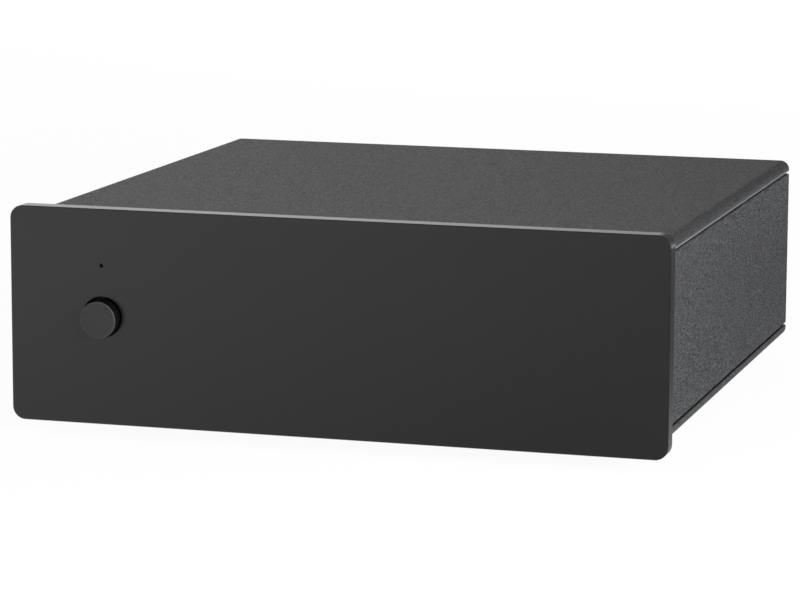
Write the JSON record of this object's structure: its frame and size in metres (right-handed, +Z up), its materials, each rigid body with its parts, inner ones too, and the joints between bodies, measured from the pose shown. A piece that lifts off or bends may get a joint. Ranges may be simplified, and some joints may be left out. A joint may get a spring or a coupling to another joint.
{
  "type": "phono preamp",
  "caption": "Phono preamp in a low black metal box: thick front panel with a push button and a light hole, covers with rounded edges, sockets and a load knob behind.",
  "frame": {"origin": "on the table, under the middle of the overall box, sockets and button included", "axes": "+Z up, +Y towards the rear panel, +X to the right as seen from the front"},
  "size_m": [0.206, 0.2154, 0.072],
  "materials": {
    "black_anodised": "fine brushed, black anodised, satin",
    "black_powder_coat": "black powder coat, fine texture, matt",
    "plated_steel": "zinc plated",
    "black_screw": "black oxide, satin",
    "foot_rubber": "matt",
    "white_nylon": "moulded, matt",
    "black_moulding": "moulded, matt",
    "spring_steel": "drawn wire",
    "clear_acrylic": "clear, polished",
    "blue_lamp": "tinted epoxy",
    "board_green": "solder mask",
    "ribbon_grey": "ribbed sleeve",
    "brass_nickel": "nickel plated brass",
    "gold_plate": "gold plated, polished",
    "white_insulator": "moulded",
    "red_insulator": "moulded",
    "socket_core": "fluoropolymer",
    "blue_switch": "moulded, matt",
    "capacitor_sleeve": "shrunk sleeve",
    "film_red": "potted box",
    "component_black": "moulded epoxy",
    "bare_aluminium": "extruded"
  },
  "bodies": {
    "root": {"board_screws": "plated_steel", "bottom_cover": "black_powder_coat", "bottom_cover_screws": "black_screw", "button_guide": "white_nylon", "button_spring": "spring_steel", "electrolytic_capacitors": "capacitor_sleeve", "end_panel_screws": "black_screw", "film_capacitors": "film_red", "foot_screws": "black_screw", "front_board": "board_green", "front_board_spacers": "brass_nickel", "front_panel": "black_anodised", "front_panel_screws": "plated_steel", "front_subpanel": "plated_steel", "ground_post": "gold_plate", "ground_post_nut": "gold_plate", "heat_sinks": "bare_aluminium", "integrated_circuits": "component_black", "left_side_panel": "black_powder_coat", "light_pipe": "clear_acrylic", "load_pot_body": "brass_nickel", "load_pot_nut": "brass_nickel", "main_board": "board_green", "main_board_standoffs": "brass_nickel", "power_inlet": "black_moulding", "power_inlet_pin": "brass_nickel", "rear_panel": "black_powder_coat", "red_socket_washers": "red_insulator", "regulators": "component_black", "relays": "component_black", "ribbon_cable": "ribbon_grey", "ribbon_connectors": "black_moulding", "right_side_panel": "black_powder_coat", "rubber_feet": "foot_rubber", "slide_switch_blocks": "blue_switch", "socket_board": "board_green", "socket_contacts": "gold_plate", "socket_cores": "socket_core", "socket_nuts": "gold_plate", "socket_sleeves": "gold_plate", "status_light": "blue_lamp", "switch_housing": "black_moulding", "top_cover": "black_powder_coat", "top_cover_screws": "plated_steel", "transistors": "component_black", "white_socket_washers": "white_insulator"},
    "power_button": {"power_button_cap": "black_anodised", "power_button_stem": "white_nylon"},
    "load_knob": {"load_knob": "black_anodised", "load_pot_shaft": "plated_steel"},
    "ground_washer": {"ground_washer": "gold_plate"},
    "ground_thumb_nut": {"ground_thumb_nut": "gold_plate"},
    "left_slider_1": {"left_slider_1": "white_insulator"},
    "left_slider_2": {"left_slider_2": "white_insulator"},
    "left_slider_3": {"left_slider_3": "white_insulator"},
    "left_slider_4": {"left_slider_4": "white_insulator"},
    "right_slider_1": {"right_slider_1": "white_insulator"},
    "right_slider_2": {"right_slider_2": "white_insulator"},
    "right_slider_3": {"right_slider_3": "white_insulator"},
    "right_slider_4": {"right_slider_4": "white_insulator"}
  },
  "joints": [
    {"name": "power_button_press", "type": "slide", "parent": "root", "child": "power_button", "axis": [0, 1, 0], "range_m": [0, 0.002], "stiffness_N_per_m": 400, "springref_m": -0.002, "deforming": ["button_spring"]},
    {"name": "load_knob_turn", "type": "hinge", "parent": "root", "child": "load_knob", "pos_m": [0.02, 0.09555, 0.0351], "axis": [0, -1, 0], "range_deg": [-150, 150]},
    {"name": "ground_washer_slide", "type": "slide", "parent": "root", "child": "ground_washer", "axis": [0, 1, 0], "range_m": [0, 0.0021]},
    {"name": "ground_nut_turn", "type": "hinge", "parent": "ground_washer", "child": "ground_thumb_nut", "pos_m": [-0.008, 0.09755, 0.0351], "axis": [0, 1, 0], "range_deg": [0, 1080.5]},
    {"name": "left_slider_1_slide", "type": "slide", "parent": "root", "child": "left_slider_1", "axis": [0, 1, 0], "range_m": [0, 0.0012]},
    {"name": "left_slider_2_slide", "type": "slide", "parent": "root", "child": "left_slider_2", "axis": [0, 1, 0], "range_m": [0, 0.0012]},
    {"name": "left_slider_3_slide", "type": "slide", "parent": "root", "child": "left_slider_3", "axis": [0, 1, 0], "range_m": [0, 0.0012]},
    {"name": "left_slider_4_slide", "type": "slide", "parent": "root", "child": "left_slider_4", "axis": [0, 1, 0], "range_m": [0, 0.0012]},
    {"name": "right_slider_1_slide", "type": "slide", "parent": "root", "child": "right_slider_1", "axis": [0, 1, 0], "range_m": [0, 0.0012]},
    {"name": "right_slider_2_slide", "type": "slide", "parent": "root", "child": "right_slider_2", "axis": [0, 1, 0], "range_m": [0, 0.0012]},
    {"name": "right_slider_3_slide", "type": "slide", "parent": "root", "child": "right_slider_3", "axis": [0, 1, 0], "range_m": [0, 0.0012]},
    {"name": "right_slider_4_slide", "type": "slide", "parent": "root", "child": "right_slider_4", "axis": [0, 1, 0], "range_m": [0, 0.0012]}
  ],
  "couplings": [
    {"joint": "ground_nut_turn", "follows": "ground_washer_slide", "rad_per_m": 8976}
  ]
}
